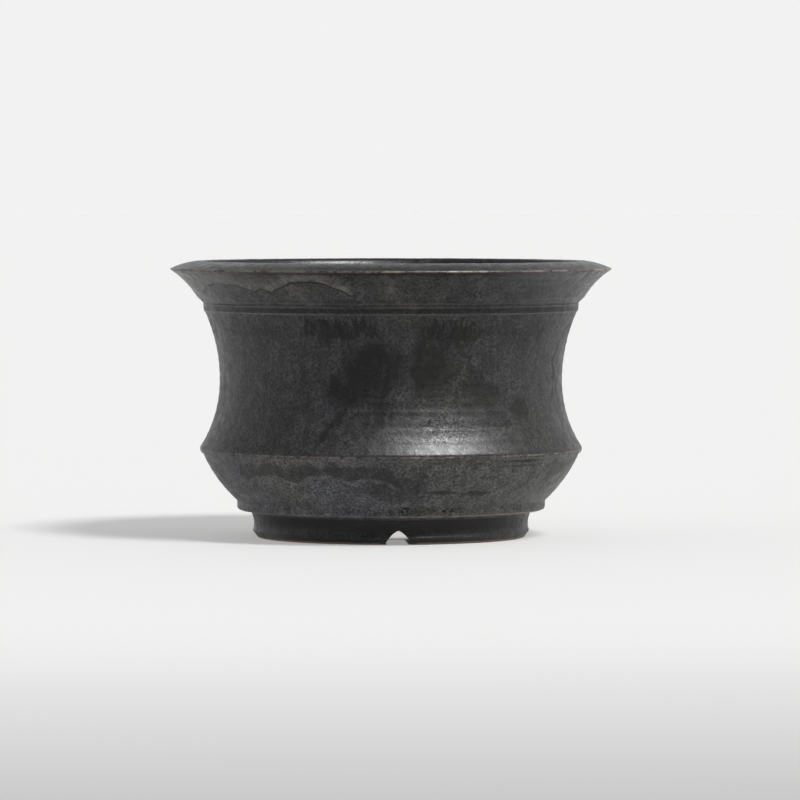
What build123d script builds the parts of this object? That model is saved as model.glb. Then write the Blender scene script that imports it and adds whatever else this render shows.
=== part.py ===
from build123d import *
import os
from math import cos, hypot, pi, radians, sin, sqrt

# A round, waisted stoneware bonsai pot, in millimetres.
# +Z is up, the origin is the centre of the foot's resting plane, and one of the three
# foot notches faces -Y. The outline (radius, height) is turned about Z; the clay is made
# of thrown sections luted face to face, under one skin of glaze.

# ---- driving dimensions ----
height = 137.9            # resting plane to the top of the rim
lip_r = 110.3             # sharp outer edge of the lip, the widest place
lip_z = 133.9
peak_r = 97.8             # ring where the rim is highest
bead_r = 93.7             # plain band under the flared collar
bead_z = 113.3
bead_h = 3.5
throat_r = 85.75          # narrowest place of the waist
throat_z = 78.6
waist_low_r = 62.0        # radius of the waist's curve under the throat
waist_high_r = 84.0       # and above it
ridge_r = 95.65           # raised edge between waist and lower bowl
ridge_z = 43.9
cordon_r = 77.2           # small raised band under the lower bowl
cordon_z = 14.0
cordon_h = 4.3
foot_edge_r = 69.2        # lower outer edge of the foot
foot_edge_z = 3.2
foot_narrow_r = 68.6
rest_outer_r = 66.8       # the ring that the pot stands on
rest_inner_r = 59.0
recess_r = 57.2           # inside of the foot ring
wall = 7.4                # wall thickness of the waist

floor_top = 15.5
floor_bottom = 7.5
floor_r = 64.0
drain_r = 25.0            # central drain hole
wire_hole_r = 2.5         # four holes for the wires that tie the tree down
wire_hole_pcd = 92.0
wire_hole_count = 4
hole_edge = 0.8           # rounding of the drain hole's edges

notch_count = 3
notch_w = 13.0
notch_h = 7.0

glaze = 0.5               # thickness of the glaze
glaze_stop_z = 1.0        # the foot is wiped bare below this
glaze_inside_z = 121.0    # the glaze runs over the rim and down to here inside

seam_step = 2.0           # height of the step in each luted seam
collar_seam_z = 112.9
collar_seam_r = 88.6
waist_seam_z = 43.9
waist_seam_r = 91.0
foot_seam_z = 12.6

mesh_cells = 20           # drainage screen: cells along one side
mesh_pitch = 3.2
mesh_open = 2.4
mesh_t = 1.2
wire_r = 0.75             # aluminium wire of the screen's clips
clip_x = 6.5 * mesh_pitch  # the legs pass down through the middle of a mesh cell
clip_y = 3.5 * mesh_pitch
clip_foot = 10.5          # how far each leg is bent out under the floor
clip_bend = 1.6
clip_gap = 0.05           # clearance between the wire and what it bears on

outside = 150.0           # larger than any radius or height of the pot


def arc_point(centre_r, centre_z, radius, z):
    """Point at height z on the side of a circle that faces the pot's axis."""
    return (centre_r - sqrt(radius**2 - (z - centre_z) ** 2), z)


# ---- the whole section, clay and glaze together ----
low_centre = throat_r + waist_low_r
high_centre = throat_r + waist_high_r
throat = (throat_r, throat_z)
waist_foot = arc_point(low_centre, throat_z, waist_low_r, ridge_z + 2.3)
waist_low = arc_point(low_centre, throat_z, waist_low_r, throat_z - 17)
waist_head = arc_point(high_centre, throat_z, waist_high_r, bead_z - 0.7)
waist_high = arc_point(high_centre, throat_z, waist_high_r, throat_z + 17)

inner_throat = (throat_r - wall, throat_z)
inner_low_end = arc_point(low_centre, throat_z, waist_low_r + wall, ridge_z + 2.6)
inner_low = arc_point(low_centre, throat_z, waist_low_r + wall, throat_z - 17)
inner_high_end = arc_point(high_centre, throat_z, waist_high_r + wall, bead_z - 0.7)
inner_high = arc_point(high_centre, throat_z, waist_high_r + wall, throat_z + 17)

with BuildLine() as glazed_line:
    # foot: undercut chamfer, hollow side and cove under the cordon
    Line((rest_outer_r, 0), (foot_edge_r, foot_edge_z))
    ThreePointArc((foot_edge_r, foot_edge_z), (foot_narrow_r, 7.0), (69.6, 11.2))
    ThreePointArc((69.6, 11.2), (70.1, 12.1), (71.0, 12.6))
    # cordon
    Line((71.0, 12.6), (75.2, cordon_z - 0.3))
    ThreePointArc((75.2, cordon_z - 0.3), (76.5, cordon_z + 0.3), (cordon_r - 0.2, cordon_z + 1.6))
    Line((cordon_r - 0.2, cordon_z + 1.6), (cordon_r, cordon_z + cordon_h))
    ThreePointArc((cordon_r, cordon_z + cordon_h), (77.7, 18.9), (78.4, 19.5))
    # lower bowl up to the ridge
    ThreePointArc((78.4, 19.5), (87.1, 29.5), (94.2, ridge_z - 2.0))
    ThreePointArc((94.2, ridge_z - 2.0), (ridge_r, ridge_z - 0.1), waist_foot)
    # waist
    ThreePointArc(waist_foot, waist_low, throat)
    ThreePointArc(throat, waist_high, waist_head)
    # bead and flared collar
    Line(waist_head, (bead_r - 0.1, bead_z))
    Line((bead_r - 0.1, bead_z), (bead_r, bead_z + bead_h))
    ThreePointArc((bead_r, bead_z + bead_h), (95.2, 118.4), (97.1, 120.3))
    ThreePointArc((97.1, 120.3), (102.8, 127.6), (lip_r - 0.7, lip_z - 0.7))
    ThreePointArc((lip_r - 0.7, lip_z - 0.7), (lip_r, lip_z), (lip_r - 0.9, lip_z + 0.65))
    # rim
    ThreePointArc((lip_r - 0.9, lip_z + 0.65), (104.3, height - 1.4), (peak_r, height))
    ThreePointArc((peak_r, height), (95.6, height - 0.9), (94.3, height - 3.0))
    ThreePointArc((94.3, height - 3.0), (89.0, 124.0), inner_high_end)

with BuildLine() as bare_line:
    # inside wall
    ThreePointArc(inner_high_end, inner_high, inner_throat)
    ThreePointArc(inner_throat, inner_low, inner_low_end)
    ThreePointArc(inner_low_end, (87.3, 41.8), (85.2, 36.5))
    ThreePointArc((85.2, 36.5), (79.4, 27.3), (72.5, 20.2))
    ThreePointArc((72.5, 20.2), (69.2, 17.1), (floor_r, floor_top))
    # floor and the rounded edges of its drain hole
    Line((floor_r, floor_top), (drain_r + hole_edge, floor_top))
    ThreePointArc(
        (drain_r + hole_edge, floor_top),
        (drain_r + 0.3 * hole_edge, floor_top - 0.3 * hole_edge),
        (drain_r, floor_top - hole_edge),
    )
    Line((drain_r, floor_top - hole_edge), (drain_r, floor_bottom + hole_edge))
    ThreePointArc(
        (drain_r, floor_bottom + hole_edge),
        (drain_r + 0.3 * hole_edge, floor_bottom + 0.3 * hole_edge),
        (drain_r + hole_edge, floor_bottom),
    )
    # recess under the floor, and the flat ring that the pot stands on
    Line((drain_r + hole_edge, floor_bottom), (recess_r, floor_bottom))
    ThreePointArc((recess_r, floor_bottom), (recess_r + 0.4, 3.0), (rest_inner_r, 0))
    Line((rest_inner_r, 0), (rest_outer_r, 0))
section = make_face([*glazed_line.edges(), *bare_line.edges()])


def zone(*points):
    """Flat area bounded by straight lines, to cut the section with."""
    return make_face(Polyline(*points, close=True))


# ---- glaze: the skin of the section, outside and over the rim ----
skin = make_face(Wire(glazed_line.edges()).offset_2d(glaze, kind=Kind.ARC, side=Side.LEFT))
wiped_foot = zone((0, -1), (outside, -1), (outside, glaze_stop_z), (0, glaze_stop_z))
bare_inside = zone(
    (0, throat_z),
    (inner_throat[0], throat_z),
    (collar_seam_r, collar_seam_z),
    (collar_seam_r + 3.0, glaze_inside_z),
    (0, glaze_inside_z),
)
glaze_section = skin - wiped_foot - bare_inside
clay = section - glaze_section

# ---- seams: stepped faces, so that each section registers on the one below ----
above_collar_seam = zone(
    (outside, collar_seam_z),
    (collar_seam_r, collar_seam_z),
    (collar_seam_r, collar_seam_z - seam_step),
    (0, collar_seam_z - seam_step),
    (0, outside),
    (outside, outside),
)
above_waist_seam = zone(
    (outside, waist_seam_z),
    (waist_seam_r, waist_seam_z),
    (waist_seam_r, waist_seam_z - seam_step),
    (0, waist_seam_z - seam_step),
    (0, outside),
    (outside, outside),
)
slab_zone = zone((0, floor_bottom), (floor_r, floor_bottom), (floor_r, floor_top), (0, floor_top))
foot_zone = zone((0, -1), (outside, -1), (outside, foot_seam_z), (0, foot_seam_z))

rim_section = clay & above_collar_seam
waist_section = (clay & above_waist_seam) - above_collar_seam
slab_section = clay & slab_zone
foot_section = (clay & foot_zone) - slab_zone
bowl_section = clay - above_waist_seam - slab_zone - foot_zone


def turned(flat):
    """Solid made by turning a (radius, height) section about Z."""
    return revolve(Plane.XZ * flat, Axis.Z)


# ---- notches in the foot, and holes in the floor ----
with BuildLine() as notch_line:
    Polyline((-notch_w / 2, 0), (-notch_w / 2, -1), (notch_w / 2, -1), (notch_w / 2, 0))
    ThreePointArc((notch_w / 2, 0), (0.36 * notch_w, 0.52 * notch_h), (0, notch_h))
    ThreePointArc((0, notch_h), (-0.36 * notch_w, 0.52 * notch_h), (-notch_w / 2, 0))
notch = extrude(Plane.XZ * make_face(notch_line.line), 2 * foot_edge_r)
notches = [Rot(Z=360 / notch_count * i) * notch for i in range(notch_count)]

wire_holes = [
    loc * Cylinder(wire_hole_r, 2 * floor_top)
    for loc in PolarLocations(wire_hole_pcd / 2, wire_hole_count)
]

foot_ring = turned(foot_section)
glaze_coat = turned(glaze_section)
floor_slab = turned(slab_section)
for cut in notches:
    foot_ring -= cut
    glaze_coat -= cut
for hole in wire_holes:
    floor_slab -= hole

# ---- drainage screen: a square of moulded plastic mesh over the drain hole ----
mesh_side = mesh_cells * mesh_pitch + (mesh_pitch - mesh_open)
screen_flat = Rectangle(mesh_side, mesh_side) - [
    loc * Rectangle(mesh_open, mesh_open)
    for loc in GridLocations(mesh_pitch, mesh_pitch, mesh_cells, mesh_cells)
]
drain_screen = extrude(Pos(0, 0, floor_top) * screen_flat, mesh_t)


# ---- clips: bent wire that holds the screen down ----
def screen_clip(y):
    """Wire over the screen, down through the drain hole and out under the floor."""
    top = floor_top + mesh_t + wire_r + clip_gap
    low = floor_bottom - wire_r - clip_gap
    path = FilletPolyline(
        (-clip_x - clip_foot, y, low),
        (-clip_x, y, low),
        (-clip_x, y, top),
        (clip_x, y, top),
        (clip_x, y, low),
        (clip_x + clip_foot, y, low),
        radius=clip_bend,
    )
    start = Plane(origin=path @ 0, z_dir=path % 0)
    wire = sweep(start * Circle(wire_r), path)
    print("clip length", round(path.length, 1), "volume", round(wire.volume, 2),
          "expected", round(pi * wire_r**2 * path.length, 2))
    return wire


nodes = {
    "rim_collar": turned(rim_section),
    "waist_wall": turned(waist_section),
    "lower_bowl": turned(bowl_section),
    "floor_slab": floor_slab,
    "foot_ring": foot_ring,
    "glaze_coat": glaze_coat,
    "drain_screen": drain_screen,
    "screen_clip_front": screen_clip(-clip_y),
    "screen_clip_back": screen_clip(clip_y),
}

os.makedirs("parts", exist_ok=True)
for name, shape in nodes.items():
    shape.label = name
    export_step(shape, f"parts/{name}.step")
    print(name, "solids", len(shape.solids()), "volume", round(shape.volume, 1))
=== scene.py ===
from math import atan2, cos, hypot, pi, radians, sin, sqrt

import bpy
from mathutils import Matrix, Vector


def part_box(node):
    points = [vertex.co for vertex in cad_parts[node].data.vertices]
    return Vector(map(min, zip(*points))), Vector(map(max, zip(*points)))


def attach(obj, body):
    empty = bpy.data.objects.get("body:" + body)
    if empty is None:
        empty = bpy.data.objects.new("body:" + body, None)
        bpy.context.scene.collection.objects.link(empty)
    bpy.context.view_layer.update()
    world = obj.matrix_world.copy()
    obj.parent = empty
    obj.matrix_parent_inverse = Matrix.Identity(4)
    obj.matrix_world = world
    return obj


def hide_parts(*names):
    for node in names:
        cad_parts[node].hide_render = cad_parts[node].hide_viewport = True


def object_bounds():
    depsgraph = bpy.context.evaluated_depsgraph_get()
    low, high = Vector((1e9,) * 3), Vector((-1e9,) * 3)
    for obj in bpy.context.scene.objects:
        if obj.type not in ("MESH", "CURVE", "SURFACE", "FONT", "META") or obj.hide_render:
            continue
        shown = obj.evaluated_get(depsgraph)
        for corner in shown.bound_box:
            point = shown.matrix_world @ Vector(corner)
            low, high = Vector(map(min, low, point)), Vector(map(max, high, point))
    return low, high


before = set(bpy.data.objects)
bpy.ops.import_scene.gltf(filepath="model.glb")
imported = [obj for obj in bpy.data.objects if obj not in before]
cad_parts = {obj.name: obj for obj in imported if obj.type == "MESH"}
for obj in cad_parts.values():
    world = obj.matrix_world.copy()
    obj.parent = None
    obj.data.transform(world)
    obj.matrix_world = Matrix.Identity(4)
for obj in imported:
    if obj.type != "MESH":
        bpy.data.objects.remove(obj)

# A round, waisted stoneware bonsai pot in its own frame: metres, +Z up, one of its three
# foot notches towards -Y. Outlines are written as (radius, height) in millimetres, as a
# potter would note them, and are turned about Z.

MM = 0.001
cad_low, cad_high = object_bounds()

# ---- sizes in millimetres, from the frame and from the pot's own outline ----
pot_height = cad_high.z / MM
lip_r = cad_high.x / MM
lip_z = pot_height - 4.0
peak_r = 97.8
bead_r = 93.7
bead_z = 113.3
bead_h = 3.5
throat_r = 85.75
throat_z = 78.6
waist_low_r = 62.0
waist_high_r = 84.0
ridge_r = 95.65
ridge_z = 43.9
cordon_r = 77.2
cordon_z = 14.0
cordon_h = 4.3
foot_edge_r = 69.2
foot_edge_z = 3.2
rest_outer_r = 66.8
rest_inner_r = 59.0
recess_r = 57.2
wall = 7.4
glaze = 0.5
glaze_stop_z = 1.0
glaze_inside_z = 121.0

slab_low, slab_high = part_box("floor_slab")
floor_top = slab_high.z / MM
floor_bottom = slab_low.z / MM
floor_r = slab_high.x / MM
drain_r = 25.0
wire_hole_r = 2.5
wire_hole_ring = 46.0
wire_hole_count = 4
drill_length = 40.0
hole_edge = 0.8           # rounding of the drain hole's edges
collar_seam_z = 112.9
collar_seam_r = 88.6
waist_seam_z = 43.9
waist_seam_r = 91.0
foot_seam_z = 12.6
seam_step = 2.0

screen_low, screen_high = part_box("drain_screen")
screen_pitch = 3.2 * MM
strand_r = 0.4 * MM
strand_count = 21
strand_end_gap = 0.1 * MM
strand_dome_in = 0.12 * MM
strand_dome_out = 0.08 * MM
wire_r = 0.75 * MM
clip_bend = 2.35         # to the middle of the wire
leg_x = 20.8

notch_w = 13.0
notch_h = 7.0
notch_turns = (0, 120, 240)
notch_cut_start = -80.0   # outside the foot
notch_cut_length = 30.0

wobble = 0.9              # full swing of the thrown walls' wandering
dimple_depth = 0.22       # full depth of the soft dimples in the glaze
clip_sway = 0.5           # full swing of the hand-bent clips
crease = radians(50)      # edges sharper than this stay sharp

skin_steps = 360          # divisions of the glazed skin about the axis
clay_steps = 240


# ---- outlines ----
def straight(a, b, n):
    """n points from a to b, a left out."""
    return [(a[0] + (b[0] - a[0]) * i / n, a[1] + (b[1] - a[1]) * i / n) for i in range(1, n + 1)]


def arc(a, b, c, n):
    """n points along the round arc from a through b to c, a left out."""
    d = 2 * (a[0] * (b[1] - c[1]) + b[0] * (c[1] - a[1]) + c[0] * (a[1] - b[1]))
    sa, sb, sc = (p[0] ** 2 + p[1] ** 2 for p in (a, b, c))
    x = (sa * (b[1] - c[1]) + sb * (c[1] - a[1]) + sc * (a[1] - b[1])) / d
    y = (sa * (c[0] - b[0]) + sb * (a[0] - c[0]) + sc * (b[0] - a[0])) / d
    r = hypot(a[0] - x, a[1] - y)
    start, middle, end = (atan2(p[1] - y, p[0] - x) for p in (a, b, c))
    sweep = (end - start) % (2 * pi)
    if (middle - start) % (2 * pi) > sweep:
        sweep -= 2 * pi
    angles = [start + sweep * i / n for i in range(1, n + 1)]
    return [(x + r * cos(t), y + r * sin(t)) for t in angles]


def bow(centre_r, radius, z):
    """Point at height z on a circle about (centre_r, throat_z), on its side nearest the axis."""
    return (centre_r - sqrt(radius**2 - (z - throat_z) ** 2), z)


def path(start, *pieces):
    """Joins straight and arc pieces, each (kind, points..., count), into one list of points."""
    line = [start]
    for kind, *points, n in pieces:
        line += kind(line[-1], *points, n)
    return line


low_centre = throat_r + waist_low_r
high_centre = throat_r + waist_high_r
waist_foot = bow(low_centre, waist_low_r, ridge_z + 2.3)
waist_head = bow(high_centre, waist_high_r, bead_z - 0.7)
chamfer = (foot_edge_r - rest_outer_r) / foot_edge_z
wiped_edge = (rest_outer_r + chamfer * glaze_stop_z, glaze_stop_z)
glaze_end = (88.0, glaze_inside_z)

outside = path(
    wiped_edge,
    (straight, (foot_edge_r - 0.3, foot_edge_z - 0.35), 3),
    (arc, (foot_edge_r + 0.02, foot_edge_z), (foot_edge_r - 0.12, foot_edge_z + 0.6), 3),
    (arc, (68.6, 7.0), (69.6, 11.5), 7),
    (arc, (70.1, 12.6), (71.1, 13.15), 4),
    (straight, (75.2, cordon_z - 0.3), 4),
    (arc, (76.6, cordon_z + 0.25), (cordon_r - 0.1, cordon_z + 1.2), 4),
    (straight, (cordon_r, cordon_z + cordon_h), 4),
    (arc, (77.55, 18.75), (78.4, 19.5), 3),
    (arc, (87.1, 29.5), (94.2, ridge_z - 2.0), 26),
    (arc, (ridge_r, ridge_z - 0.1), waist_foot, 6),
    (arc, bow(low_centre, waist_low_r, throat_z - 17), (throat_r, throat_z), 30),
    (arc, bow(high_centre, waist_high_r, throat_z + 17), waist_head, 30),
    (straight, (bead_r - 0.1, bead_z), 2),
    (straight, (bead_r + 0.2, bead_z + bead_h - 0.4), 4),
    (arc, (bead_r + 0.2, bead_z + bead_h - 0.1), (bead_r, bead_z + bead_h + 0.15), 2),
    (arc, (95.1, 118.4), (97.1, 120.3), 5),
    (arc, (102.8, 127.6), (lip_r - 0.7, lip_z - 0.7), 17),
    (arc, (lip_r, lip_z), (lip_r - 0.9, lip_z + 0.65), 4),
    (arc, (104.3, pot_height - 1.4), (peak_r, pot_height), 12),
    (arc, (95.6, pot_height - 0.9), (94.3, pot_height - 3.0), 5),
    (arc, (90.4, 127.4), glaze_end, 9),
)
inner_head = bow(high_centre, waist_high_r + wall, bead_z - 0.7)
inner_low_end = bow(low_centre, waist_low_r + wall, ridge_z + 2.6)
inner_low = bow(low_centre, waist_low_r + wall, throat_z - 17)
inside = path(
    glaze_end,
    (arc, (86.3, 116.8), inner_head, 5),
    (arc, bow(high_centre, waist_high_r + wall, throat_z + 17), (throat_r - wall, throat_z), 22),
    (arc, inner_low, inner_low_end, 22),
    (arc, (87.3, 41.8), (85.2, 36.5), 8),
    (arc, (79.4, 27.3), (72.5, 20.2), 12),
    (arc, (69.2, 17.1), (floor_r, floor_top), 8),
)


def inset(line, depth):
    """The line moved square to itself towards its left, into the clay."""
    moved = []
    for i, (r, z) in enumerate(line):
        before = line[max(i - 1, 0)]
        after = line[min(i + 1, len(line) - 1)]
        dr, dz = after[0] - before[0], after[1] - before[1]
        run = hypot(dr, dz)
        moved.append((r - depth * dz / run, z + depth * dr / run))
    return moved


def thinned(line, gap):
    """Fewer points where the line runs nearly straight: the back of the glaze isn't seen."""
    kept = [line[0]]
    for i in range(1, len(line) - 1):
        a, b, c = kept[-1], line[i], line[i + 1]
        turn = atan2(c[1] - b[1], c[0] - b[0]) - atan2(b[1] - a[1], b[0] - a[0])
        turn = abs((turn + pi) % (2 * pi) - pi)
        if turn > radians(14) or hypot(b[0] - a[0], b[1] - a[1]) > gap:
            kept.append(b)
    return kept + [line[-1]]


def rilled(line, low, high, depth, pitch):
    """Shallow throwing rings between two heights: two waves that never quite repeat."""
    out = []
    for r, z in line:
        fade = max(0.0, min(1.0, (z - low) / 4, (high - z) / 4))
        wave = sin(2 * pi * z / pitch) + 0.6 * sin(2 * pi * z / (pitch * 0.618) + 1.3)
        out.append((r + fade * depth * wave, z))
    return out


def crossing(line, z):
    """(index of the first point past height z, the point where the line crosses it)."""
    rising = line[0][1] < z
    for i, (a, b) in enumerate(zip(line, line[1:])):
        if (a[1] < z <= b[1]) if rising else (a[1] > z >= b[1]):
            t = (z - a[1]) / (b[1] - a[1])
            return i + 1, (a[0] + t * (b[0] - a[0]), z)
    raise ValueError(f"the outline doesn't reach height {z}")


# ---- modelling helpers ----
def deselect():
    """Leaves edit mode and selects nothing."""
    if bpy.context.object and bpy.context.object.mode != "OBJECT":
        bpy.ops.object.mode_set(mode="OBJECT")
    bpy.ops.object.select_all(action="DESELECT")


def pick(obj):
    """Makes this object the only one selected, and the active one."""
    deselect()
    obj.select_set(True)
    bpy.context.view_layer.objects.active = obj


def chain(name, points):
    """A row of joined vertices through 3-D points in metres, made from one small plane."""
    deselect()
    bpy.ops.mesh.primitive_plane_add(size=MM, location=points[0])
    obj = bpy.context.object
    obj.name = name
    bpy.ops.object.transform_apply(location=True, rotation=True, scale=True)
    bpy.ops.object.mode_set(mode="EDIT")
    bpy.ops.mesh.select_all(action="SELECT")
    bpy.ops.mesh.merge(type="CENTER")
    for a, b in zip(points, points[1:]):
        step = Vector(b) - Vector(a)
        bpy.ops.mesh.extrude_vertices_move(TRANSFORM_OT_translate={"value": step})
    return obj


def closed_up():
    """Joins doubled vertices and turns all faces outwards. Needs edit mode."""
    bpy.ops.mesh.select_all(action="SELECT")
    bpy.ops.mesh.remove_doubles(threshold=0.004 * MM)
    bpy.ops.mesh.normals_make_consistent(inside=False)
    bpy.ops.object.mode_set(mode="OBJECT")


def turned(name, line, steps, front=0):
    """Turns a closed outline about Z. The first `front` points go in the group "face"."""
    points = [(r * MM, 0, z * MM) for r, z in line]
    obj = chain(name, points + points[:1])
    bpy.ops.object.mode_set(mode="OBJECT")
    if front:
        group = obj.vertex_groups.new(name="face")
        group.add(list(range(front)), 1.0, "REPLACE")
    bpy.ops.object.mode_set(mode="EDIT")
    bpy.ops.mesh.select_all(action="SELECT")
    bpy.ops.mesh.spin(steps=steps, angle=2 * pi, center=(0, 0, 0), axis=(0, 0, 1))
    closed_up()
    bpy.ops.object.shade_smooth_by_angle(angle=crease)
    return obj


def apply_all(obj):
    """Applies the modifiers in their order."""
    pick(obj)
    for modifier in list(obj.modifiers):
        bpy.ops.object.modifier_apply(modifier=modifier.name)


def cloud(name, size, depth=1):
    """Soft procedural texture for displacement, its lumps about `size` millimetres."""
    texture = bpy.data.textures.new(name, "CLOUDS")
    texture.noise_scale = size * MM
    texture.noise_depth = depth
    return texture


wobble_x = cloud("wobble_x", 95)
wobble_y = cloud("wobble_y", 70)
dimples = cloud("dimples", 9, 2)
bends = cloud("bends", 15)


def hand_thrown(obj):
    """The slight lean and swell that a wheel-thrown pot keeps, the same for every piece."""
    for axis, texture in (("X", wobble_x), ("Y", wobble_y)):
        move = obj.modifiers.new(f"wobble_{axis}", "DISPLACE")
        move.texture = texture
        move.texture_coords = "LOCAL"
        move.direction = axis
        move.strength = wobble * MM
        move.mid_level = 0.5


def notch_cutter(turn):
    """Pointed arch, longer than the foot is thick, turned about Z by `turn` degrees."""
    half = notch_w / 2
    right = path(
        (half, 0),
        (arc, (0.335 * notch_w, 0.53 * notch_h), (0.6, notch_h - 0.15), 10),
        (straight, (0, notch_h), 1),
    )
    left = [(-x, z) for x, z in reversed(right[:-1])]
    arch = [(half, -1), *right, *left, (-half, -1)]
    points = [(x * MM, notch_cut_start * MM, z * MM) for x, z in arch]
    obj = chain("notch_cutter", points)
    bpy.ops.mesh.select_all(action="SELECT")
    bpy.ops.mesh.edge_face_add()
    along = (0, notch_cut_length * MM, 0)
    bpy.ops.mesh.extrude_region_move(TRANSFORM_OT_translate={"value": along})
    bpy.ops.mesh.select_all(action="SELECT")
    bpy.ops.mesh.normals_make_consistent(inside=False)
    bpy.ops.transform.rotate(value=radians(-turn), orient_axis="Z", center_override=(0, 0, 0))
    bpy.ops.object.mode_set(mode="OBJECT")
    return obj


def copied(obj, step):
    """A copy with its own mesh, moved in its mesh by `step` metres."""
    pick(obj)
    bpy.ops.object.duplicate()
    twin = bpy.context.object
    bpy.ops.object.mode_set(mode="EDIT")
    bpy.ops.mesh.select_all(action="SELECT")
    bpy.ops.transform.translate(value=step)
    bpy.ops.object.mode_set(mode="OBJECT")
    return twin


def joined(name, objects):
    """One object made of several."""
    pick(objects[0])
    for obj in objects[1:]:
        obj.select_set(True)
    bpy.ops.object.join()
    bpy.context.object.name = name
    return bpy.context.object


def screen_strand(z, turn):
    """One round strand of the net along X or Y at the net's edge, its ends a little domed."""
    half = screen_high.x - strand_end_gap
    deselect()
    edge = screen_low.y + strand_r
    bpy.ops.mesh.primitive_cylinder_add(vertices=10, radius=strand_r, depth=2 * half,
                                        location=(0, edge, z), rotation=(0, pi / 2, 0))
    obj = bpy.context.object
    bpy.ops.object.transform_apply(location=True, rotation=True, scale=True)
    bpy.ops.object.mode_set(mode="EDIT")
    bpy.ops.mesh.select_all(action="DESELECT")
    bpy.ops.object.mode_set(mode="OBJECT")
    for face in obj.data.polygons:
        face.select = abs(face.normal.x) > 0.9
    bpy.ops.object.mode_set(mode="EDIT")
    bpy.ops.mesh.select_mode(type="FACE")
    bpy.ops.mesh.inset(thickness=strand_dome_in, depth=strand_dome_out, use_individual=True)
    if turn:
        bpy.ops.mesh.select_all(action="SELECT")
        bpy.ops.transform.rotate(value=radians(turn), orient_axis="Z", center_override=(0, 0, 0))
    bpy.ops.object.mode_set(mode="OBJECT")
    bpy.ops.object.shade_smooth_by_angle(angle=crease)
    # a turned strand lies at the other edge of the net: bring it to the near one
    if turn and obj.data.vertices[0].co.x > 0:
        bpy.ops.object.mode_set(mode="EDIT")
        bpy.ops.mesh.select_all(action="SELECT")
        bpy.ops.transform.translate(value=(2 * edge, 0, 0))
        bpy.ops.object.mode_set(mode="OBJECT")
    return obj


def bent_wire(name, low, high):
    """A staple of round wire: out along the underside, up a leg, over the net and back."""
    y = (low.y + high.y) / 2
    bottom = low.z + wire_r
    top = high.z - wire_r
    turn_r = clip_bend * MM
    deselect()
    bpy.ops.mesh.primitive_circle_add(vertices=14, radius=wire_r, fill_type="NGON",
                                      location=(low.x, y, bottom), rotation=(0, pi / 2, 0))
    obj = bpy.context.object
    obj.name = name
    bpy.ops.object.transform_apply(location=True, rotation=True, scale=True)
    bpy.ops.object.mode_set(mode="EDIT")
    bpy.ops.mesh.select_mode(type="FACE")
    bpy.ops.mesh.select_all(action="SELECT")

    def run(x, z, pieces):
        step = (x / pieces, 0, z / pieces)
        for _ in range(pieces):
            bpy.ops.mesh.extrude_region_move(TRANSFORM_OT_translate={"value": step})

    def turn(x, z, angle):
        bpy.ops.mesh.spin(steps=6, angle=radians(angle), center=(x, y, z), axis=(0, 1, 0))

    leg = leg_x * MM
    out = -leg - low.x
    rise = top - bottom - 2 * turn_r
    run(out - turn_r, 0, 4)
    turn(-leg - turn_r, bottom + turn_r, 90)
    run(0, rise, 5)
    turn(-leg + turn_r, top - turn_r, -90)
    run(2 * (leg - turn_r), 0, 18)
    turn(leg - turn_r, top - turn_r, -90)
    run(0, -rise, 5)
    turn(leg + turn_r, bottom + turn_r, 90)
    run(out - turn_r, 0, 4)
    closed_up()
    bpy.ops.object.shade_smooth_by_angle(angle=crease)
    return obj


def cut(obj, cutters):
    """Takes each cutter's volume out of the object."""
    for i, cutter in enumerate(cutters):
        take = obj.modifiers.new(f"cut_{i}", "BOOLEAN")
        take.operation = "DIFFERENCE"
        take.solver = "MANIFOLD"
        take.object = cutter


def finished(obj, material, slot, *nodes):
    """Gives a piece its material, hangs it under the root body and hides the CAD nodes it stands for;
    slot is not used.
    """
    obj.data.materials.clear()
    obj.data.materials.append(material)
    for face in obj.data.polygons:
        face.material_index = 0
    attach(obj, "root")
    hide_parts(*nodes)
    return obj


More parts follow.
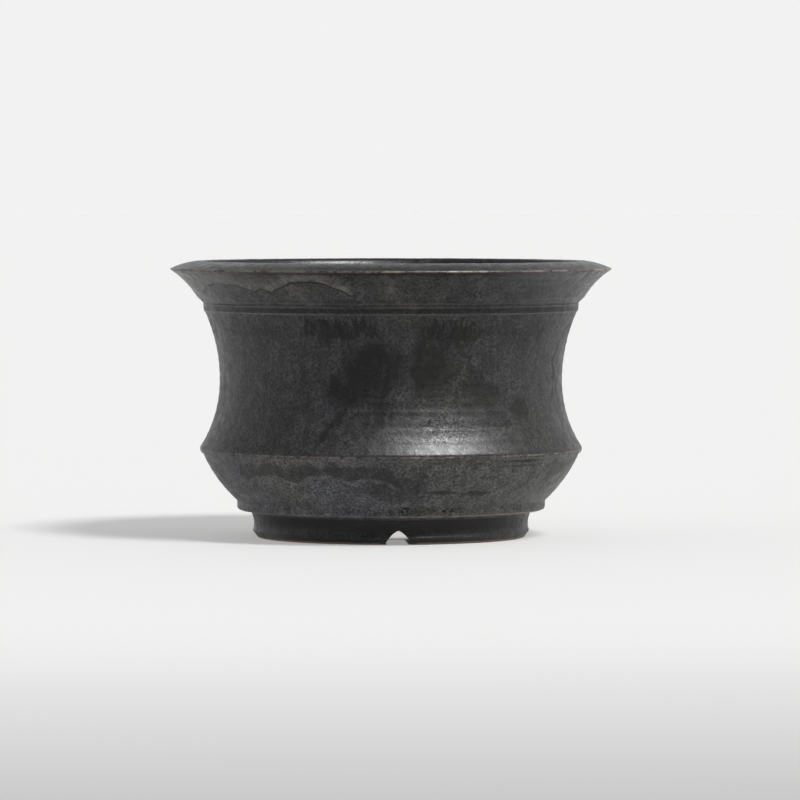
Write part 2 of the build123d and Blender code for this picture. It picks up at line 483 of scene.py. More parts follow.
# ---- material helpers ----
class Nodes:
    """Short names for building one material's nodes."""

    def __init__(self, name):
        self.material = bpy.data.materials.new(name)
        self.material.use_nodes = True
        self.tree = self.material.node_tree
        self.shader = self.tree.nodes["Principled BSDF"]
        self.place = self.add("ShaderNodeTexCoord").outputs["Object"]
        self.x, self.y, self.z = self.split(self.place)

    def put(self, socket, value):
        if isinstance(value, bpy.types.NodeSocket):
            self.tree.links.new(value, socket)
        else:
            socket.default_value = value

    def add(self, kind, **settings):
        node = self.tree.nodes.new(kind)
        for key, value in settings.items():
            setattr(node, key, value)
        return node

    def math(self, operation, a, b=0.0, c=0.0):
        node = self.add("ShaderNodeMath", operation=operation)
        for socket, value in zip(node.inputs, (a, b, c)):
            self.put(socket, value)
        return node.outputs[0]

    def times(self, first, *others):
        for other in others:
            first = self.math("MULTIPLY", first, other)
        return first

    def most(self, first, *others):
        for other in others:
            first = self.math("MAXIMUM", first, other)
        return first

    def reach(self, behind=0.0):
        """Distance in plan from an upright line `behind` metres behind the pot's axis."""
        y = self.math("SUBTRACT", self.y, behind) if behind else self.y
        return self.math("SQRT", self.math("MULTIPLY_ADD", self.x, self.x, self.times(y, y)))

    def split(self, vector):
        node = self.add("ShaderNodeSeparateXYZ")
        self.put(node.inputs[0], vector)
        return node.outputs

    def join(self, x, y, z):
        node = self.add("ShaderNodeCombineXYZ")
        for socket, value in zip(node.inputs, (x, y, z)):
            self.put(socket, value)
        return node.outputs[0]

    def stretched(self, x, y, z):
        """The place, scaled along each axis. A small z makes upright streaks."""
        node = self.add("ShaderNodeVectorMath", operation="MULTIPLY")
        self.put(node.inputs[0], self.place)
        node.inputs[1].default_value = (x, y, z)
        return node.outputs[0]

    def noise(self, scale, detail=3.0, rough=0.5, vector=None):
        node = self.add("ShaderNodeTexNoise")
        self.put(node.inputs["Vector"], self.place if vector is None else vector)
        node.inputs["Scale"].default_value = scale
        node.inputs["Detail"].default_value = detail
        node.inputs["Roughness"].default_value = rough
        return node.outputs[0]

    def cells(self, scale):
        """Distance from the middle of the nearest of many scattered cells."""
        node = self.add("ShaderNodeTexVoronoi")
        self.put(node.inputs["Vector"], self.place)
        node.inputs["Scale"].default_value = scale
        return node.outputs["Distance"]

    def ramp(self, value, low, high, to_low=0.0, to_high=1.0):
        """Smooth step of a value from low to high, or down again if high is less."""
        node = self.add("ShaderNodeMapRange", interpolation_type="SMOOTHSTEP")
        if high < low:
            low, high, to_low, to_high = high, low, to_high, to_low
        for socket, number in zip(node.inputs, (value, low, high, to_low, to_high)):
            self.put(socket, number)
        return node.outputs[0]

    def band(self, value, low, high, soft):
        """1 between low and high, fading to 0 over `soft` outside them."""
        up = self.ramp(value, low - soft, low)
        down = self.ramp(value, high, high + soft, 1.0, 0.0)
        return self.math("MULTIPLY", up, down)

    def mix(self, amount, a, b):
        node = self.add("ShaderNodeMix", data_type="RGBA", clamp_factor=True)
        self.put(node.inputs[0], amount)
        for socket, value in ((node.inputs[6], a), (node.inputs[7], b)):
            self.put(socket, value if isinstance(value, bpy.types.NodeSocket) else (*value, 1.0))
        return node.outputs[2]

    def scaled(self, colour, amount):
        node = self.add("ShaderNodeVectorMath", operation="SCALE")
        self.put(node.inputs[0], colour)
        self.put(node.inputs["Scale"], amount)
        return node.outputs[0]

    def bump(self, height, distance, strength, under=None):
        node = self.add("ShaderNodeBump")
        node.inputs["Strength"].default_value = strength
        node.inputs["Distance"].default_value = distance
        self.put(node.inputs["Height"], height)
        if under is not None:
            self.put(node.inputs["Normal"], under)
        return node.outputs[0]


# ---- finishes ----
class GlazeNodes(Nodes):
    """Adds where a point lies on the pot: `turn` in degrees round from -Y towards +X and
    `height` in millimetres, and both shifted by slow noise, so that no patch has a
    compass-drawn edge."""

    def __init__(self, name):
        super().__init__(name)
        self.turn = self.times(self.math("ARCTAN2", self.x, self.times(self.y, -1.0)), 180 / pi)
        self.height = self.times(self.z, 1 / MM)
        self.drift = self.math("SUBTRACT", self.noise(85, 5, 0.62), 0.5)
        upright = self.noise(120, 5, 0.66, self.stretched(1, 1, 0.45))
        self.drift_up = self.math("SUBTRACT", upright, 0.5)
        self.loose_turn = self.math("MULTIPLY_ADD", self.drift, 15.0, self.turn)
        self.loose_height = self.math("MULTIPLY_ADD", self.drift_up, 20.0, self.height)
        broken = self.noise(300, 5, 0.68, self.stretched(1, 1, 0.4))
        self.patchy = self.ramp(broken, 0.30, 0.50, 0.62, 1.0)

    def ovals(self, turn, height, spots, soft):
        """Darkest of many soft ovals."""
        shapes = []
        for spot_turn, spot_height, half_turn, half_height, lean, depth in spots:
            up = self.math("SUBTRACT", height, spot_height)
            across = self.math("MULTIPLY_ADD", up, -lean, self.math("SUBTRACT", turn, spot_turn))
            a = self.times(across, 1 / half_turn)
            b = self.times(up, 1 / half_height)
            far = self.math("ADD", self.times(a, a), self.times(b, b))
            shapes.append(self.ramp(far, (1 + soft) ** 2, (1 - soft) ** 2, 0.0, depth))
        return self.most(*shapes)

    def arches(self, loosened, spans):
        """Height of a row of round-topped scallops with cusps between."""
        turn = self.math("MULTIPLY_ADD", self.drift, loosened, self.turn)
        shapes = []
        for middle, top, steep in spans:
            across = self.math("SUBTRACT", turn, middle)
            drop = self.times(self.times(across, across), -steep)
            shapes.append(self.math("ADD", drop, top))
        return self.most(*shapes)


# soft ovals: (turn, height, half turn, half height, lean, depth)
pool_spots = [
    (-9.0, 86.0, 9.0, 11.5, 0.0, 1.0),
    (-14.5, 77.0, 6.5, 10.0, 0.25, 0.95),
    (9.4, 87.0, 7.0, 13.0, 0.0, 0.95),
    (28.0, 74.7, 4.5, 8.0, -0.4, 0.8),
    (42.3, 66.0, 3.2, 5.5, 0.0, 0.8),
    (-6.0, 60.0, 12.0, 4.0, 0.0, 0.35),
    (88.0, 78.0, 7.0, 13.0, 0.0, 0.8),
    (118.0, 88.0, 9.0, 10.0, 0.1, 0.9),
    (150.0, 70.0, 6.0, 12.0, -0.2, 0.8),
    (-82.0, 70.0, 6.0, 10.0, 0.2, 0.6),
    (-104.0, 85.0, 9.0, 11.0, 0.1, 0.9),
    (-132.0, 74.0, 7.0, 10.0, 0.2, 0.8),
    (-158.0, 88.0, 8.0, 10.0, 0.0, 0.9),
    (-2.0, 27.5, 9.0, 5.0, 0.0, 0.6),
    (98.0, 31.0, 12.0, 5.0, 0.0, 0.6),
    (-112.0, 30.0, 14.0, 5.0, 0.0, 0.6),
]
run_spots = [
    (-20.3, 62.8, 1.3, 14.0, 0.43, 0.85),
    (-7.2, 69.0, 1.7, 17.0, 0.15, 1.0),
    (66.0, 84.0, 1.3, 14.0, 0.03, 0.9),
    (70.5, 80.0, 1.0, 15.0, 0.03, 0.8),
    (22.0, 90.0, 0.9, 9.0, -0.4, 0.6),
    (33.5, 58.5, 4.0, 0.9, -0.5, 0.6),
    (24.0, 64.0, 0.9, 7.0, -0.5, 0.6),
    (104.0, 70.0, 1.4, 16.0, 0.1, 0.8),
    (3.5, 66.0, 1.0, 12.0, 0.1, 0.5),
    (140.0, 66.0, 1.3, 15.0, -0.2, 0.8),
    (-98.0, 66.0, 1.4, 16.0, 0.15, 0.8),
    (-146.0, 70.0, 1.4, 17.0, -0.1, 0.8),
    (6.6, 29.5, 1.2, 6.0, 0.1, 0.8),
    (15.0, 26.4, 4.5, 0.9, 0.0, 0.8),
    (26.5, 25.6, 5.0, 1.0, 0.0, 0.7),
    (41.5, 41.3, 7.0, 0.6, 0.0, 0.8),
    (40.5, 38.9, 6.0, 0.5, 0.0, 0.6),
]
fringe_spots = [
    (-19.0, 104.5, 13.0, 5.6, 0.0, 1.0),
    (17.0, 103.0, 11.0, 5.5, 0.0, 0.95),
    (46.0, 104.5, 8.0, 4.0, 0.0, 0.55),
    (-52.0, 104.0, 16.0, 3.5, 0.0, 0.4),
    (84.0, 103.5, 16.0, 5.0, 0.0, 0.8),
    (128.0, 104.0, 20.0, 5.5, 0.0, 0.9),
    (166.0, 103.0, 10.0, 4.5, 0.0, 0.7),
    (-90.0, 103.5, 14.0, 5.0, 0.0, 0.8),
    (-140.0, 104.0, 24.0, 5.5, 0.0, 0.9),
]
speckled_spots = [
    (-21.5, 41.0, 11.0, 2.0, 0.0, 1.0),
    (-47.0, 40.5, 9.0, 1.5, 0.0, 0.5),
    (60.0, 41.2, 14.0, 1.4, 0.0, 0.5),
    (112.0, 41.0, 16.0, 2.0, 0.0, 0.9),
    (168.0, 41.2, 10.0, 1.8, 0.0, 0.7),
    (-100.0, 41.0, 12.0, 1.8, 0.0, 0.8),
    (-150.0, 40.8, 14.0, 2.0, 0.0, 0.9),
]
knot_spots = [
    (1.5, 17.3, 2.2, 1.9, 0.0, 1.0),
    (17.0, 17.2, 4.2, 1.3, 0.0, 1.0),
    (20.6, 122.6, 4.5, 2.6, 0.0, 1.0),
    (36.0, 60.0, 3.0, 3.0, 0.0, 0.8),
    (14.0, 56.0, 9.0, 6.0, 0.0, 0.7),
    (-43.5, 17.3, 1.0, 0.8, 0.0, 1.0),
    (-28.4, 17.3, 0.9, 0.7, 0.0, 1.0),
    (-15.0, 17.3, 0.9, 0.7, 0.0, 1.0),
    (108.0, 17.3, 4.0, 1.4, 0.0, 1.0),
    (-120.0, 17.3, 3.0, 1.4, 0.0, 1.0),
    (150.0, 121.0, 5.0, 2.6, 0.0, 1.0),
]
# scallops: (turn, top, steepness)
collar_spans = [
    (-84.0, 126.5, 0.030),
    (-57.6, 127.4, 0.0236),
    (-41.8, 124.9, 0.146),
    (-27.0, 128.7, 0.038),
    (98.0, 127.0, 0.020),
    (122.0, 125.5, 0.040),
    (-150.0, 127.0, 0.018),
]
bowl_spans = [
    (-44.0, 34.2, 0.036),
    (-24.3, 34.9, 0.050),
    (-10.0, 33.0, 0.050),
    (72.0, 34.0, 0.018),
    (128.0, 35.0, 0.020),
    (164.0, 33.5, 0.030),
    (-88.0, 34.5, 0.020),
    (-142.0, 34.0, 0.016),
]


def charcoal_base(n):
    """Slate-dark glaze, cooler and warmer in slow clouds, mottled coarsely and finely."""
    clouds = n.ramp(n.noise(13, 3, 0.5), 0.40, 0.60)
    colour = n.mix(clouds, (0.0266, 0.0271, 0.0294), (0.0296, 0.0289, 0.0279))
    breaks = n.ramp(n.noise(140, 5, 0.62), 0.34, 0.68, 0.76, 1.30)
    curdle = n.ramp(n.noise(820, 6, 0.78), 0.37, 0.65, 0.30, 2.10)
    colour = n.scaled(colour, n.times(breaks, curdle))
    # faint upright strokes where the glaze ran before it set
    strokes = n.noise(260, 4, 0.62, n.stretched(1, 1, 0.13))
    colour = n.scaled(colour, n.ramp(strokes, 0.36, 0.66, 0.86, 1.16))
    # painted light lifts the bowl's base, for the white floor it faces; painted shade darkens the rim's
    # upper bevel
    colour = n.scaled(colour, n.ramp(n.height, ridge_z + 0.7, ridge_z - 1.1, 1.0, 1.92))
    return n.scaled(colour, n.ramp(n.height, lip_z + 0.5, lip_z + 1.5, 1.0, 0.62))


def thick_glaze(n):
    """Where the glaze lies thick and dark: pools, runs, and hairs hanging below the bead."""
    pools = n.ovals(n.loose_turn, n.loose_height, pool_spots, 0.5)
    runs = n.ovals(n.loose_turn, n.height, run_spots, 0.6)
    hairs = n.noise(520, 4, 0.7, n.stretched(1, 1, 0.07))
    locks = n.noise(110, 3, 0.6, n.stretched(1, 1, 0.15))
    hung = n.math("MULTIPLY_ADD", n.math("SUBTRACT", hairs, 0.5), 26.0, n.height)
    hung = n.math("MULTIPLY_ADD", n.math("SUBTRACT", locks, 0.5), 16.0, hung)
    combed = n.ramp(hairs, 0.40, 0.60, 1.0, 0.72)
    fringe = n.times(n.ovals(n.turn, hung, fringe_spots, 0.16), combed)
    return n.times(n.most(pools, runs, fringe), n.patchy)


def collar_flow(n):
    """The scalloped flow line on the collar, and the thin glaze above it."""
    scallops = n.arches(6.0, collar_spans)
    over = n.math("SUBTRACT", n.math("MULTIPLY_ADD", n.drift_up, 2.5, n.height), scallops)
    near = n.ramp(scallops, 121.0, 123.0)
    line = n.times(n.band(over, -0.20, 0.20, 0.25), near)
    above = n.times(n.ramp(over, 0.1, 0.9), n.ramp(over, 7.5, 2.0), near)
    scattered = n.ramp(n.noise(60, 4, 0.6), 0.50, 0.66)
    stray = n.times(n.band(n.loose_height, 118.0, 131.0, 2.0), scattered, 0.55)
    return line, n.most(above, stray)


def bowl_flow(n):
    """The bowl's dark glaze with its wavy lower edge, and the thin glaze on that edge's crest."""
    waves = n.arches(8.0, bowl_spans)
    up = n.math("SUBTRACT", n.math("MULTIPLY_ADD", n.drift_up, 3.5, n.height), waves)
    wavy = n.ramp(waves, 27.0, 30.0)
    above_cordon = n.ramp(n.height, 26.0, 29.0)
    dark = n.times(n.ramp(up, 0.0, 0.7), n.ramp(n.loose_height, 41.0, 37.5))
    dark = n.times(dark, wavy, n.times(n.patchy, 0.62), above_cordon)
    crest = n.times(n.band(up, -0.9, -0.3, 1.1), n.times(wavy, 0.60))
    crest = n.times(crest, n.times(above_cordon, n.ramp(n.noise(90, 4, 0.6), 0.42, 0.60)))
    return dark, crest


def speckles(n):
    """Thin, grainy glaze under the ridge."""
    grain = n.ramp(n.noise(700, 4, 0.75), 0.44, 0.58)
    height = n.math("MULTIPLY_ADD", n.drift_up, 8.0, n.height)
    return n.times(n.ovals(n.loose_turn, height, speckled_spots, 0.4),
                   n.math("MULTIPLY_ADD", grain, 0.8, 0.1))


def pitting(n):
    """Scattered pinholes, and knots of pits."""
    pinholes = n.times(n.ramp(n.cells(430), 0.17, 0.10), n.ramp(n.noise(45, 3, 0.6), 0.50, 0.58))
    knots = n.ovals(n.turn, n.height, knot_spots, 0.3)
    return n.most(pinholes, n.times(knots, n.ramp(n.noise(820, 3, 0.6), 0.47, 0.41)))


def worn_and_lit_edges(n, worn_slow):
    """Where glaze pulls thin off the sharp edges over the iron clay, with painted highlight making them
    strongest at the front right, which faces the key light.
    """
    bands = []
    for low, high, soft, force in (
        (lip_z - 0.25, lip_z + 0.40, 0.35, 1.0),
        (ridge_z - 0.15, ridge_z + 0.30, 0.35, 0.60),
        (cordon_z - 0.1, cordon_z + 0.3, 0.35, 0.50),
        (bead_z + bead_h - 0.4, bead_z + bead_h, 0.4, 0.20),
    ):
        bands.append(n.times(n.band(n.height, low, high, soft), force))
    # painted highlight: the edges weigh more towards the front right, where the key light falls
    key_side_glint = n.math("MULTIPLY_ADD", n.band(n.turn, 2.0, 75.0, 14.0), 0.5, 0.5)
    worn = n.ramp(n.noise(210, 5, 0.72), 0.38, 0.58)
    return n.times(n.times(n.most(*bands), worn), n.times(worn_slow, key_side_glint))


def dark_glaze():
    n = GlazeNodes("charcoal_glaze")
    thick_colour = (0.0034, 0.0031, 0.0024)
    bowl_dark_colour = (0.0085, 0.0080, 0.0068)
    thin_colour = (0.132, 0.124, 0.114)
    fleck_colour = (0.17, 0.165, 0.155)
    pit_colour = (0.003, 0.003, 0.003)
    bead_highlight_colour = (0.105, 0.103, 0.100)
    painted_shade_colour = (0.0045, 0.0042, 0.0038)
    iron_and_glint_colour = (0.330, 0.245, 0.212)
    under_lip_colour = (0.016, 0.0085, 0.0065)

    dark = thick_glaze(n)
    colour = n.mix(n.times(dark, 0.96), charcoal_base(n), thick_colour)
    line, collar_thin = collar_flow(n)
    bowl_dark, crest = bowl_flow(n)
    colour = n.mix(bowl_dark, colour, bowl_dark_colour)
    gritty = n.ramp(n.noise(300, 6, 0.74, n.stretched(1, 1, 0.6)), 0.36, 0.66, 0.15, 1.0)
    thin = n.times(n.most(collar_thin, crest, speckles(n)), gritty)
    colour = n.mix(thin, colour, thin_colour)
    colour = n.mix(line, colour, pit_colour)

    fleck = n.times(n.ramp(n.cells(560), 0.12, 0.05), n.ramp(n.noise(60, 2, 0.5), 0.48, 0.60))
    colour = n.mix(n.times(fleck, 0.45), colour, fleck_colour)
    pits = pitting(n)
    colour = n.mix(pits, colour, pit_colour)

    # painted highlights: fine light lines along the bead's edges
    worn_slow = n.ramp(n.noise(28, 2, 0.5), 0.36, 0.60, 0.35, 1.0)
    glints = n.most(
        n.band(n.height, 116.3, 116.9, 0.35),
        n.band(n.height, 112.8, 113.2, 0.3),
        n.times(n.band(n.height, 118.1, 118.4, 0.3), 0.6),
    )
    glints = n.times(glints, n.ramp(worn_slow, 0.2, 1.0, 0.25, 0.60))
    colour = n.mix(glints, colour, bead_highlight_colour)
    # painted shade: a broken dark band on the bead's face, the foot ring darkest under the cordon's
    # overhang, and the undercut chamfer under the foot's edge
    bead_face_shade = n.times(n.band(n.height, 113.9, 115.3, 0.6), n.times(n.patchy, 0.50))
    foot = n.times(n.ramp(n.height, 13.2, 11.8), n.ramp(n.height, 5.0, 8.0, 0.66, 0.96))
    undercut_shade = n.ramp(n.height, foot_edge_z + 0.2, foot_edge_z - 0.4, 0.0, 0.92)
    colour = n.mix(n.most(bead_face_shade, n.most(foot, undercut_shade)), colour, painted_shade_colour)

    # thin glaze over iron clay on the edges, partly painted highlight
    colour = n.mix(worn_and_lit_edges(n, worn_slow), colour, iron_and_glint_colour)
    under_lip = n.times(n.band(n.height, lip_z - 1.5, lip_z - 0.5, 0.5), 0.5)
    n.put(n.shader.inputs["Base Color"], n.mix(under_lip, colour, under_lip_colour))

    rough = n.math("MULTIPLY_ADD", n.ramp(n.noise(260, 4, 0.65), 0.3, 0.7), 0.20, 0.25)
    rough = n.math("MULTIPLY_ADD", thin, 0.16, rough)
    rough = n.math("MULTIPLY_ADD", dark, 0.08, rough)
    inside_peak = n.ramp(n.reach(), (peak_r - 0.5) * MM, (peak_r - 2.5) * MM)
    n.put(n.shader.inputs["Roughness"], n.math("MULTIPLY_ADD", inside_peak, 0.08, rough))
    n.shader.inputs["Specular IOR Level"].default_value = 0.22
    n.shader.inputs["Coat Weight"].default_value = 0.08
    n.shader.inputs["Coat Roughness"].default_value = 0.34

    # skin of the glaze: orange peel, turning marks, soft lumps and pits
    peel = n.bump(n.noise(800, 4, 0.66), 0.0003, 0.6)
    marks = n.bump(n.noise(240, 3, 0.6, n.stretched(0.05, 0.05, 5.0)), 0.0003, 0.04, peel)
    lumps = n.bump(n.noise(150, 3, 0.55), 0.0010, 0.22, marks)
    n.put(n.shader.inputs["Normal"], n.bump(pits, -0.0004, 0.8, lumps))
    return n.material


def bare_stoneware():
    n = Nodes("bare_stoneware")
    cloudy = n.ramp(n.noise(22, 4, 0.6), 0.3, 0.7)
    colour = n.mix(cloudy, (0.115, 0.070, 0.045), (0.19, 0.125, 0.085))
    sand = n.ramp(n.noise(1500, 3, 0.7), 0.40, 0.65)
    colour = n.mix(n.times(sand, 0.5), colour, (0.27, 0.19, 0.135))
    grog = n.times(n.ramp(n.cells(420), 0.16, 0.10), n.ramp(n.noise(90, 2), 0.45, 0.6))
    colour = n.mix(n.times(grog, 0.7), colour, (0.035, 0.022, 0.016))
    # glaze that ran into the notches and down past the wiped line inside the rim
    third_turn = n.times(n.math("ARCTAN2", n.x, n.times(n.y, -1.0)), 3.0)
    height = n.times(n.z, 1 / MM)
    ragged = n.math("MULTIPLY_ADD", n.noise(70, 4, 0.6), 9.0, height)
    by_notch = n.times(n.ramp(n.math("COSINE", third_turn), 0.90, 0.93), n.ramp(ragged, 12.6, 11.4))
    by_notch = n.times(by_notch, n.ramp(n.reach(), 0.0570, 0.0580), n.ramp(height, 0.15, 0.7))
    smear = n.ramp(ragged, 123.0, 124.5)
    glazed = n.most(by_notch, smear)
    n.put(n.shader.inputs["Base Color"], n.mix(glazed, colour, (0.018, 0.017, 0.016)))
    rough = n.math("MULTIPLY_ADD", n.noise(300, 3), 0.2, 0.68)
    n.put(n.shader.inputs["Roughness"], n.math("MULTIPLY_ADD", glazed, -0.35, rough))
    n.shader.inputs["Specular IOR Level"].default_value = 0.35
    tooth = n.bump(n.noise(1100, 4, 0.7), 0.0002, 0.7)
    rings = n.bump(n.noise(160, 3, 0.6, n.stretched(0.06, 0.06, 5.0)), 0.0004, 0.6, tooth)
    n.put(n.shader.inputs["Normal"], n.bump(grog, -0.0003, 0.6, rings))
    return n.material


def black_plastic():
    n = Nodes("black_plastic")
    dust = n.ramp(n.noise(700, 4, 0.7), 0.45, 0.75)
    colour = n.mix(n.times(dust, 0.5), (0.012, 0.013, 0.012), (0.05, 0.047, 0.042))
    n.put(n.shader.inputs["Base Color"], colour)
    n.put(n.shader.inputs["Roughness"], n.math("MULTIPLY_ADD", dust, 0.25, 0.42))
    n.put(n.shader.inputs["Normal"], n.bump(n.noise(1800, 2), 0.00005, 0.5))
    return n.material


def brown_wire():
    n = Nodes("brown_aluminium_wire")
    worn = n.ramp(n.noise(500, 4, 0.7), 0.5, 0.72)
    n.put(n.shader.inputs["Base Color"], n.mix(worn, (0.20, 0.095, 0.05), (0.55, 0.42, 0.33)))
    n.shader.inputs["Metallic"].default_value = 1.0
    n.put(n.shader.inputs["Roughness"], n.math("MULTIPLY_ADD", worn, -0.12, 0.42))
    drawn = n.noise(2400, 2, 0.5, n.stretched(0.04, 1, 1))
    n.put(n.shader.inputs["Normal"], n.bump(drawn, 0.00004, 0.6))
    return n.material


glaze_finish = dark_glaze()
clay_finish = bare_stoneware()
plastic_finish = black_plastic()
wire_finish = brown_wire()

# ---- pieces ----
# turning lines outside, throwing rings inside: from, to, depth and pitch
outside = rilled(outside, 18.0, 112.0, 0.05, 4.6)
outside = rilled(outside, 117.0, 133.0, 0.06, 2.9)
back = inset(outside, glaze)
inside = rilled(inside, 20.0, 118.0, 0.22, 7.3)
cutters = [notch_cutter(turn) for turn in notch_turns]

skin_line = outside + thinned(back, 5.0)[::-1]
skin = turned("glaze_skin", skin_line, skin_steps, len(outside))
hand_thrown(skin)
relief = skin.modifiers.new("relief", "DISPLACE")
relief.texture = dimples
relief.texture_coords = "LOCAL"
relief.vertex_group = "face"
relief.strength = dimple_depth * MM
relief.mid_level = 0.5
cut(skin, cutters)
apply_all(skin)
finished(skin, glaze_finish, "glaze", "glaze_coat")

collar_up, collar_out = crossing(back, collar_seam_z)
collar_down, collar_in = crossing(inside, collar_seam_z - seam_step)
waist_up, waist_out = crossing(back, waist_seam_z)
waist_down, waist_in = crossing(inside, waist_seam_z - seam_step)
foot_up, foot_out = crossing(back, foot_seam_z)
collar_step = [(collar_seam_r, collar_seam_z), (collar_seam_r, collar_seam_z - seam_step)]
waist_step = [(waist_seam_r, waist_seam_z), (waist_seam_r, waist_seam_z - seam_step)]

collar_line = [collar_out, *back[collar_up:], *inside[:collar_down], collar_in, *collar_step[::-1]]
waist_line = [waist_out, *back[waist_up:collar_up], collar_out, *collar_step, collar_in,
              *inside[collar_down:waist_down], waist_in, *waist_step[::-1]]
bowl_line = [foot_out, *back[foot_up:waist_up], waist_out, *waist_step, waist_in,
             *inside[waist_down:], (floor_r, foot_seam_z)]
foot_line = path(
    (rest_inner_r + 0.4, 0),
    (straight, (rest_outer_r - 0.4, 0), 3),
    (arc, (rest_outer_r, 0.15), (rest_outer_r + 0.4, 0.5), 3),
    (straight, wiped_edge, 2),
)
foot_line += [*back[:foot_up], foot_out, (floor_r, foot_seam_z), (floor_r, floor_bottom)]
foot_line += path(
    (floor_r, floor_bottom),
    (straight, (recess_r, floor_bottom), 4),
    (arc, (recess_r + 0.4, 3.2), (rest_inner_r - 0.2, 0.4), 7),
)[1:]
slab_line = path(
    (floor_r, floor_top),
    (straight, (drain_r + hole_edge, floor_top), 24),
    (arc, (drain_r + 0.3 * hole_edge, floor_top - 0.3 * hole_edge),
     (drain_r, floor_top - hole_edge), 4),
    (straight, (drain_r, floor_bottom + hole_edge), 5),
    (arc, (drain_r + 0.3 * hole_edge, floor_bottom + 0.3 * hole_edge),
     (drain_r + hole_edge, floor_bottom), 4),
    (straight, (floor_r, floor_bottom), 20),
)

for name, line, node in (
    ("collar_clay", collar_line, "rim_collar"),
    ("waist_clay", waist_line, "waist_wall"),
    ("bowl_clay", bowl_line, "lower_bowl"),
    ("slab_clay", slab_line, "floor_slab"),
    ("foot_clay", foot_line, "foot_ring"),
):
    piece = turned(name, line, clay_steps)
    hand_thrown(piece)
    if node == "foot_ring":
        cut(piece, cutters)
    drills = []
    if node == "floor_slab":
        for i in range(wire_hole_count):
            angle = 2 * pi * i / wire_hole_count
            place = (wire_hole_ring * MM * cos(angle), wire_hole_ring * MM * sin(angle), slab_low.z)
            bpy.ops.mesh.primitive_cylinder_add(vertices=32, radius=wire_hole_r * MM,
                                                depth=drill_length * MM, location=place)
            drills.append(bpy.context.object)
        cut(piece, drills)
    apply_all(piece)
    for drill in drills:
        bpy.data.objects.remove(drill)
    finished(piece, clay_finish, "stoneware", node)

for cutter in cutters:
    bpy.data.objects.remove(cutter)

strand = screen_strand(screen_low.z + strand_r, 0)
strands = [strand]
for i in range(1, strand_count):
    strands.append(copied(strand, (0, i * screen_pitch, 0)))
crossing_strand = screen_strand(screen_high.z - strand_r, 90)
strands.append(crossing_strand)
for i in range(1, strand_count):
    strands.append(copied(crossing_strand, (i * screen_pitch, 0, 0)))
net = joined("screen_net", strands)
hand_thrown(net)
apply_all(net)
finished(net, plastic_finish, "screen_plastic", "drain_screen")

for name, node in (("clip_front", "screen_clip_front"), ("clip_back", "screen_clip_back")):
    clip = bent_wire(name, *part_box(node))
    hand_thrown(clip)
    sway = clip.modifiers.new("hand_bent", "DISPLACE")
    sway.texture = bends
    sway.texture_coords = "LOCAL"
    sway.direction = "Y"
    sway.strength = clip_sway * MM
    apply_all(clip)
    finished(clip, wire_finish, "clip_wire", node)

# ---- stage, light and camera ----
floor_size = 60.0
floor_z = -0.00005         # a hair under the foot
floor_tone = 0.70
floor_glow = 0.295         # faint light of its own, so that the floor reads white
hole_glow = 0.50           # painted pool of light: glow on the floor where light through the open drain hole would fall
hole_glow_back = 0.022     # and how far behind the axis it lies

card_size = 12.0
card_y = -6.75

key_direction = (0.39, -0.45, 0.80)
key_spread = 15.0
key_strength = 1.85
glint_spread = 13.0
glint_strength = 8.4

room_back = (0.885, 0.89, 0.885)
room_front = (0.100, 0.101, 0.104)


def stage_plane(name, size, location):
    """Flat square of the stage, with a material to finish."""
    deselect()
    bpy.ops.mesh.primitive_plane_add(size=size, location=location)
    obj = bpy.context.object
    obj.name = name
    bpy.ops.object.transform_apply(location=True, rotation=True, scale=True)
    n = Nodes(name)
    obj.data.materials.append(n.material)
    return obj, n


def stage_floor():
    """Pale sweep with painted shade: its colour and glow dim in a band a little in front of the pot, as
    if it fell out of the light.
    """
    n = stage_plane("studio_floor", floor_size, (0, 0, floor_z))[1]
    front_shade_band = n.times(n.ramp(n.y, -0.5, -1.6), n.ramp(n.y, -5.0, -2.2))
    light = n.math("MULTIPLY_ADD", front_shade_band, -0.5, 1.0)
    shade = n.times(light, floor_tone)
    n.put(n.shader.inputs["Base Color"], n.join(shade, shade, n.times(shade, 0.995)))
    n.shader.inputs["Roughness"].default_value = 0.9
    n.shader.inputs["Specular IOR Level"].default_value = 0.1
    n.shader.inputs["Emission Color"].default_value = (1.0, 1.0, 0.99, 1)
    # no glow under the pot, save painted light: a pool below the drain hole and a patch on the floor seen
    # through the front notch
    clear = n.times(n.ramp(n.reach(), 0.059, 0.068), floor_glow)
    hole_light_pool = n.times(n.ramp(n.reach(hole_glow_back), 0.054, 0.026), hole_glow)
    # painted light: glow on the strip of floor seen through the front notch
    across = n.ramp(n.math("ABSOLUTE", n.x), 0.0062, 0.0045)
    notch_light_patch = n.times(across, n.ramp(n.y, -0.020, -0.030), floor_glow)
    glow = n.most(clear, n.most(hole_light_pool, notch_light_patch))
    n.put(n.shader.inputs["Emission Strength"], n.times(light, glow))


def dark_card():
    """A flag laid in front of the pot, which only the glaze's reflections meet."""
    obj, n = stage_plane("dark_card", card_size, (0, card_y, 0.001))
    n.shader.inputs["Base Color"].default_value = (0.05, 0.05, 0.05, 1)
    n.shader.inputs["Roughness"].default_value = 1.0
    obj.visible_camera = False
    obj.visible_diffuse = False
    obj.visible_shadow = False


def softbox(name, direction, spread, strength):
    """Large soft light far off: an even light whose highlight is `spread` degrees across."""
    light = bpy.data.lights.new(name, "SUN")
    light.angle = radians(spread)
    light.energy = strength
    obj = bpy.data.objects.new(name, light)
    bpy.context.scene.collection.objects.link(obj)
    towards = Vector(direction).normalized()
    obj.location = towards * 1.5
    obj.rotation_euler = towards.to_track_quat("Z", "Y").to_euler()
    return obj


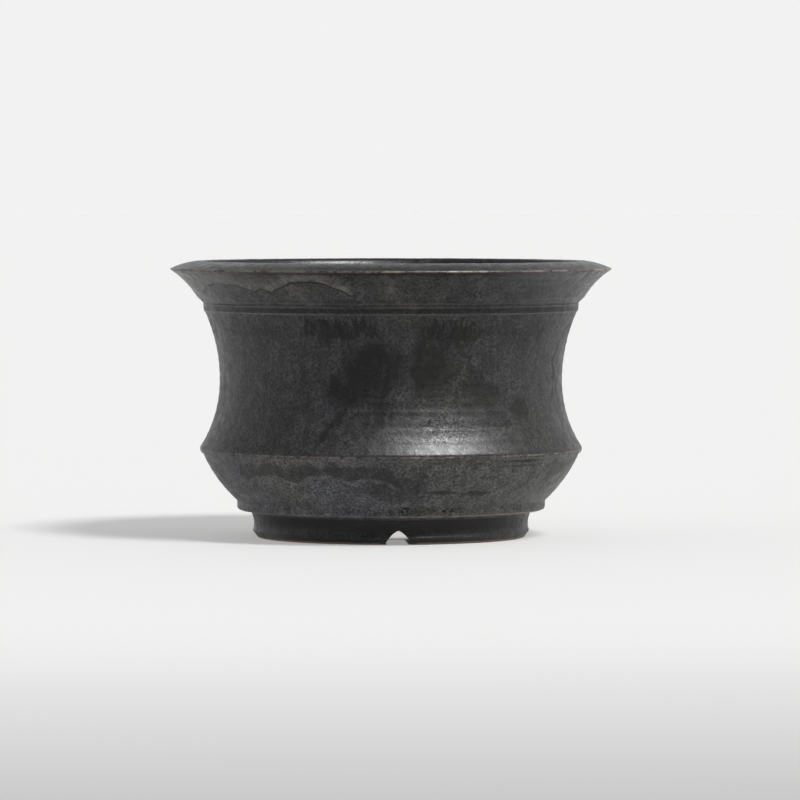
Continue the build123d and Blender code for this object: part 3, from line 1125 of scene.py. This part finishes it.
def studio_room():
    """White walls behind and beside the pot, and a dim room in front and overhead. The
    backdrop itself reads plain."""
    world = bpy.data.worlds.new("studio")
    bpy.context.scene.world = world
    world.use_nodes = True
    tree = world.node_tree

    def eased(value, low, high, to_low, to_high):
        node = tree.nodes.new("ShaderNodeMapRange")
        node.interpolation_type = "SMOOTHSTEP"
        tree.links.new(value, node.inputs["Value"])
        for socket, number in zip(node.inputs[1:5], (low, high, to_low, to_high)):
            socket.default_value = number
        return node.outputs[0]

    def combined(operation, a, b):
        node = tree.nodes.new("ShaderNodeMath")
        node.operation = operation
        tree.links.new(a, node.inputs[0])
        tree.links.new(b, node.inputs[1])
        return node.outputs[0]

    toward = tree.nodes.new("ShaderNodeSeparateXYZ")
    tree.links.new(tree.nodes.new("ShaderNodeTexCoord").outputs["Generated"], toward.inputs[0])
    fade = eased(toward.outputs["Y"], -0.97, -0.25, 0.0, 1.0)
    overhead = eased(toward.outputs["Z"], 0.25, 0.80, 1.0, 0.15)
    seen = tree.nodes.new("ShaderNodeLightPath").outputs["Is Camera Ray"]
    walls = tree.nodes.new("ShaderNodeMix")
    walls.data_type = "RGBA"
    walls.inputs[6].default_value = (*room_front, 1)
    walls.inputs[7].default_value = (*room_back, 1)
    tree.links.new(combined("MAXIMUM", combined("MULTIPLY", fade, overhead), seen), walls.inputs[0])
    tree.links.new(walls.outputs[2], tree.nodes["Background"].inputs[0])


stage_floor()
dark_card()
softbox("key_softbox", key_direction, key_spread, key_strength)
glint = softbox("key_glint", key_direction, glint_spread, glint_strength)
glint.visible_diffuse = False
studio_room()

camera_turn = radians(-3.0)      # the camera stands a little to the left of the notch
camera_distance = 2.70
camera_height = 0.1748
camera_pitch = radians(2.26)
camera_data = bpy.data.cameras.new("camera")
camera_data.sensor_width = 36.0
camera_data.lens = 243.0
camera_data.clip_start = 0.05
camera_data.clip_end = 100.0
camera = bpy.data.objects.new("camera", camera_data)
bpy.context.scene.collection.objects.link(camera)
camera.location = (sin(camera_turn) * camera_distance, -cos(camera_turn) * camera_distance, camera_height)
camera.rotation_euler = (pi / 2 - camera_pitch, 0, camera_turn - radians(0.095))
bpy.context.scene.camera = camera
bpy.context.scene.view_settings.view_transform = "Standard"
